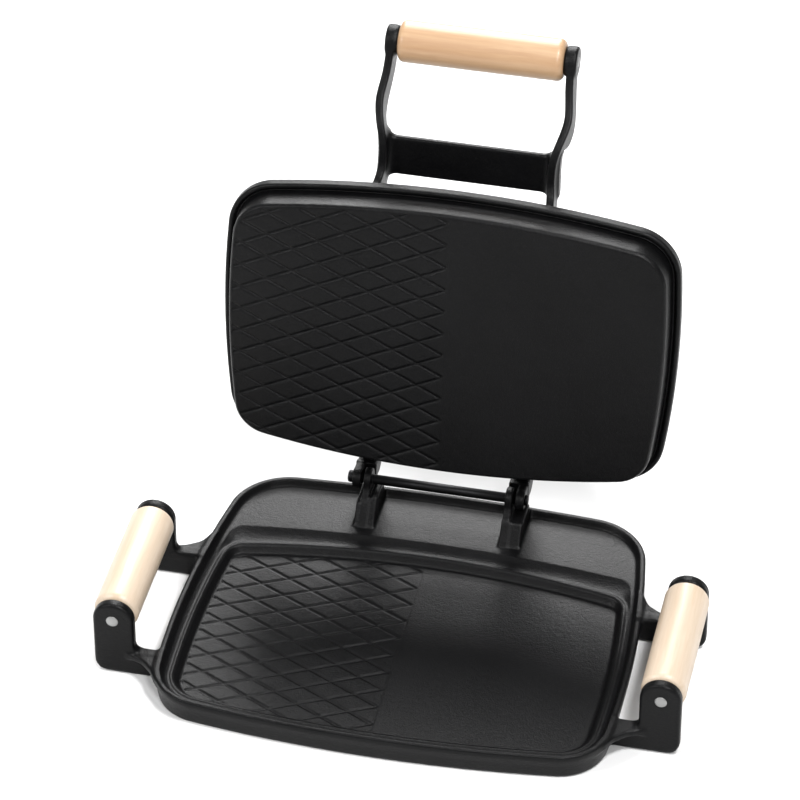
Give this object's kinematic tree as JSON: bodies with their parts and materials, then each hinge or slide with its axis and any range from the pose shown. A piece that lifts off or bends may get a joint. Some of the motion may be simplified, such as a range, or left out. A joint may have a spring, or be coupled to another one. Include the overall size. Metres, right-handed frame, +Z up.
{
  "type": "pie iron",
  "caption": "Hinged cast-iron press: a recessed base pan with two wood side grips and a lid plate that swings on a rod, with a wood-gripped lid handle.",
  "frame": {"origin": "centre of the base pan's flat underside, on the surface it stands on", "axes": "+X to the right grip, +Y to the hinge, +Z up; drawn at rest with the lid open against its stop"},
  "size_m": [0.408, 0.3778, 0.3472],
  "materials": {
    "cast_iron": "black, slightly rough as cast",
    "dark_steel": "dark oiled rod",
    "steel": "bright riveted heads",
    "wood": "pale turned wood, thin clear coat"
  },
  "bodies": {
    "base": {"base_pan": "cast_iron", "hinge_rod": "dark_steel", "left_grip": "wood", "right_grip": "wood", "left_grip_rod": "steel", "right_grip_rod": "steel"},
    "lid": {"lid_plate": "cast_iron", "lid_grip": "wood", "lid_grip_rod": "steel"}
  },
  "joints": [
    {"name": "lid_hinge", "type": "hinge", "parent": "base", "child": "lid", "pos_m": [0, 0.112, 0.04], "axis": [1, 0, 0], "range_deg": [0, 99]}
  ]
}
